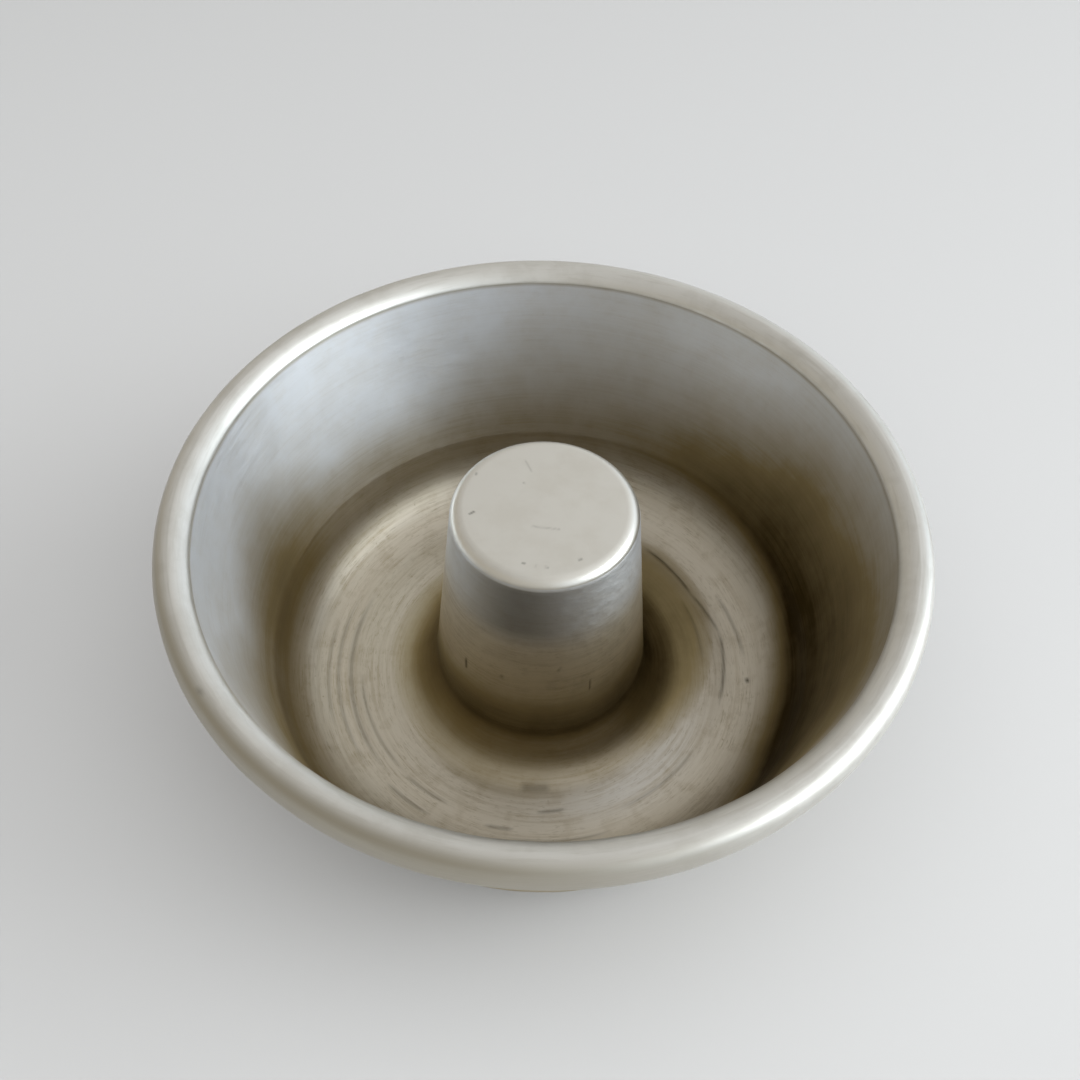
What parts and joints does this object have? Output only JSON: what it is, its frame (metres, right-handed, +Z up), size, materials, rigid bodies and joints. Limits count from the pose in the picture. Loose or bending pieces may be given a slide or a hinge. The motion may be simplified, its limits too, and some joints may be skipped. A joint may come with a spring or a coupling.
{
  "type": "ring cake mould",
  "caption": "Round aluminium ring cake mould with a leaning wall, a rounded trough, a closed tapering chimney in the middle and an outward-rolled rim, for baking or setting ring-shaped cakes.",
  "frame": {"origin": "on the mould's axis, at the level of the surface that it stands on", "axes": "+Z up along the axis, from the floor of the trough to the open mouth; the mould is round, so +X and +Y are any two level directions square to each other"},
  "size_m": [0.18, 0.18, 0.0734],
  "materials": {
    "aged_aluminium": "satin, brushed round the axis, with brown baking stain in the corners",
    "chimney_aluminium": "satin, worn bright on the top and at the shoulder",
    "wire_steel": "plain drawn wire"
  },
  "bodies": {
    "root": {"pan_body": "aged_aluminium", "centre_chimney": "chimney_aluminium", "rim_wire": "wire_steel"}
  },
  "joints": []
}
